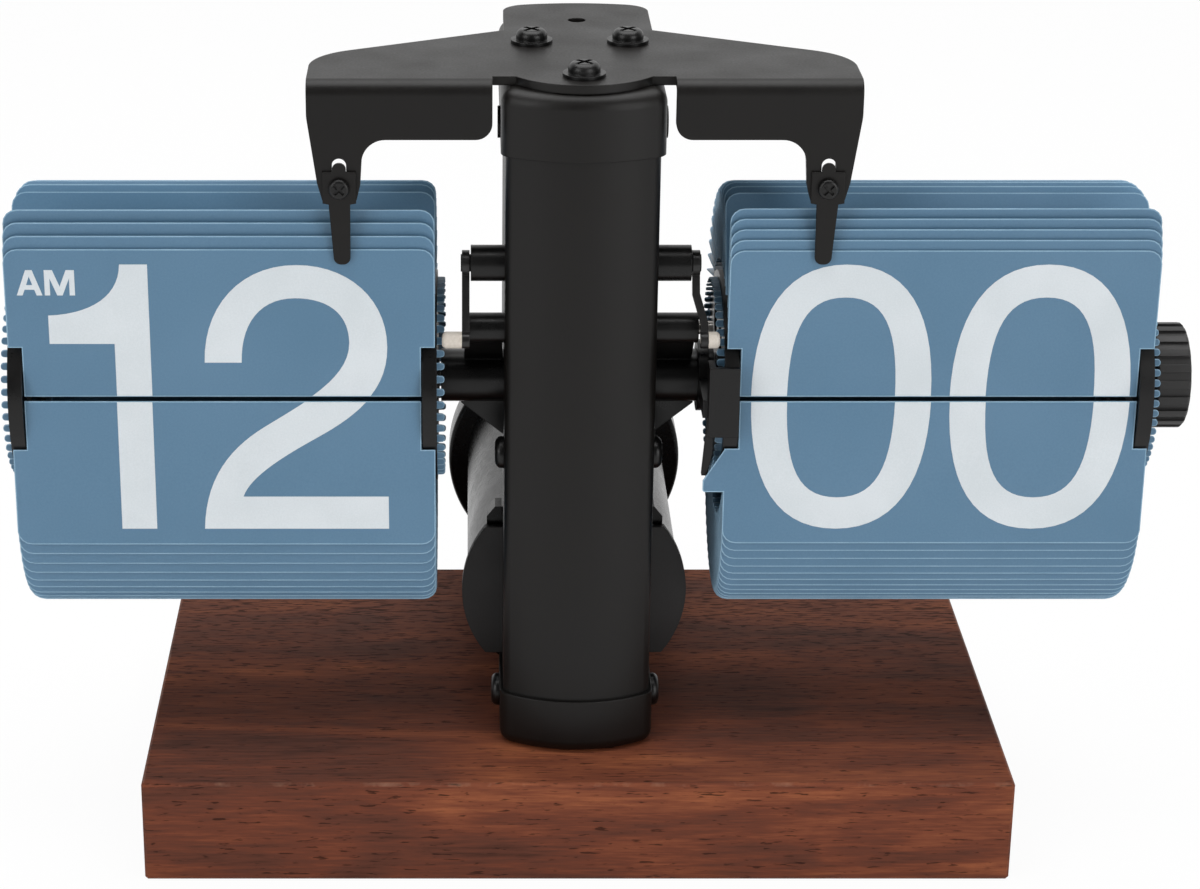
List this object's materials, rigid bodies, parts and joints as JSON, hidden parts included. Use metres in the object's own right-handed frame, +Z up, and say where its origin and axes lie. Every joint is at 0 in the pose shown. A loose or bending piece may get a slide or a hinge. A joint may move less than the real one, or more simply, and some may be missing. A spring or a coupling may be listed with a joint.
{
  "type": "flip clock",
  "caption": "Desk flip clock with drums of blue number flaps either side of a black column on a walnut base, a battery drum behind and a setting knob at the right",
  "frame": {"origin": "middle of the underside of the wooden base", "axes": "+X to the right as seen from the front, along the display axis; -Y to the front; +Z up"},
  "size_m": [0.2069, 0.1065, 0.1437],
  "materials": {
    "walnut": "oiled walnut board with dark streaks",
    "black_paint": "satin black paint on sheet",
    "black_screw": "glossy blackened screw",
    "black_case": "moulded black plastic",
    "black_gloss": "polished black plastic",
    "flap_blue": "matt blue plastic sheet",
    "steel": "drawn steel",
    "pale_nylon": "natural nylon",
    "black_spring": "blackened spring strip",
    "brass": "turned and rolled brass",
    "lead_cover": "thin PVC lead"
  },
  "bodies": {
    "stand": {"base_bolts": "steel", "battery_cell": "steel", "battery_housing": "black_gloss", "battery_spring": "steel", "bracket_screws": "black_screw", "cap_rivets": "black_paint", "carry_stud": "steel", "case_left": "black_case", "case_right": "black_case", "case_screws": "black_screw", "centre_bush": "brass", "drum_flange": "black_paint", "foot_block": "black_case", "foot_cup": "black_paint", "foot_screws": "black_screw", "hour_flaps_fan": "flap_blue", "hour_flaps_hanging": "flap_blue", "hour_flaps_standing": "flap_blue", "minute_flaps_fan": "flap_blue", "minute_flaps_hanging": "flap_blue", "minute_flaps_standing": "flap_blue", "motor": "steel", "motor_leads": "lead_cover", "movement_plate": "brass", "pillar_tube": "black_paint", "plate_standoffs": "brass", "top_bracket": "black_paint", "top_cap": "black_paint", "wood_base": "walnut"},
    "minute_drum": {"minute_inner_wheel": "black_case", "minute_outer_wheel": "black_case", "minute_flap_pins": "flap_blue", "minute_shaft": "steel", "setting_knob": "black_case", "minute_gear": "pale_nylon"},
    "hour_drum": {"hour_inner_wheel": "black_case", "hour_outer_wheel": "black_case", "hour_flap_pins": "flap_blue", "hour_shaft": "steel", "hour_shaft_clip": "steel", "hour_gear": "pale_nylon"},
    "counter": {"counter_arbor": "steel", "counter_gear": "pale_nylon", "counter_pinion": "pale_nylon"},
    "motor_rotor": {"motor_pinion": "brass"},
    "hour_flap": {"hour_flap_fallen": "flap_blue"},
    "minute_flap": {"minute_flap_fallen": "flap_blue"},
    "hour_detent": {"hour_detent_arm": "black_spring", "hour_detent_tip": "pale_nylon"},
    "minute_detent": {"minute_detent_arm": "black_spring", "minute_detent_tip": "pale_nylon"},
    "carry_rocker": {"carry_lever": "black_case", "carry_plate": "black_case"},
    "battery_door": {"battery_cover": "black_gloss", "battery_contact": "steel"},
    "left_finger": {"finger_left": "black_paint", "finger_screw_left": "black_screw"},
    "right_finger": {"finger_right": "black_paint", "finger_screw_right": "black_screw"}
  },
  "joints": [
    {"name": "minute_turn", "type": "hinge", "parent": "stand", "child": "minute_drum", "pos_m": [0, -0.014, 0.0836], "axis": [1, 0, 0], "continuous": true},
    {"name": "hour_turn", "type": "hinge", "parent": "stand", "child": "hour_drum", "pos_m": [0, -0.014, 0.0836], "axis": [1, 0, 0], "continuous": true},
    {"name": "counter_turn", "type": "hinge", "parent": "stand", "child": "counter", "pos_m": [0, -0.007, 0.09572], "axis": [1, 0, 0], "continuous": true},
    {"name": "motor_turn", "type": "hinge", "parent": "stand", "child": "motor_rotor", "pos_m": [0, -0.01902, 0.07053], "axis": [1, 0, 0], "continuous": true},
    {"name": "hour_flip", "type": "hinge", "parent": "stand", "child": "hour_flap", "pos_m": [0, -0.03132, 0.08443], "axis": [-1, 0, 0], "range_deg": [0, 170]},
    {"name": "minute_flip", "type": "hinge", "parent": "stand", "child": "minute_flap", "pos_m": [0, -0.03131, 0.08466], "axis": [-1, 0, 0], "range_deg": [0, 170]},
    {"name": "hour_detent_lift", "type": "hinge", "parent": "stand", "child": "hour_detent", "pos_m": [0, -0.024, 0.1077], "axis": [-1, 0, 0], "range_deg": [0, 8], "stiffness_Nm_per_rad": 0.02, "springref_deg": -11.46},
    {"name": "minute_detent_lift", "type": "hinge", "parent": "stand", "child": "minute_detent", "pos_m": [0, -0.024, 0.1077], "axis": [-1, 0, 0], "range_deg": [0, 8], "stiffness_Nm_per_rad": 0.02, "springref_deg": -11.46},
    {"name": "carry_rock", "type": "hinge", "parent": "stand", "child": "carry_rocker", "pos_m": [0, -0.014, 0.0836], "axis": [1, 0, 0], "range_deg": [0, 6], "stiffness_Nm_per_rad": 0.01, "springref_deg": -5.73},
    {"name": "battery_door_pull", "type": "slide", "parent": "stand", "child": "battery_door", "axis": [0, 1, 0], "range_m": [0, 0.03]},
    {"name": "left_finger_slide", "type": "slide", "parent": "stand", "child": "left_finger", "axis": [0, 0, 1], "range_m": [0, 0.0036]},
    {"name": "right_finger_slide", "type": "slide", "parent": "stand", "child": "right_finger", "axis": [0, 0, 1], "range_m": [0, 0.0036]}
  ],
  "couplings": [
    {"joint": "hour_turn", "follows": "minute_turn", "ratio": 0.041667},
    {"joint": "counter_turn", "follows": "minute_turn", "ratio": -0.25},
    {"joint": "motor_turn", "follows": "minute_turn", "ratio": -6}
  ]
}
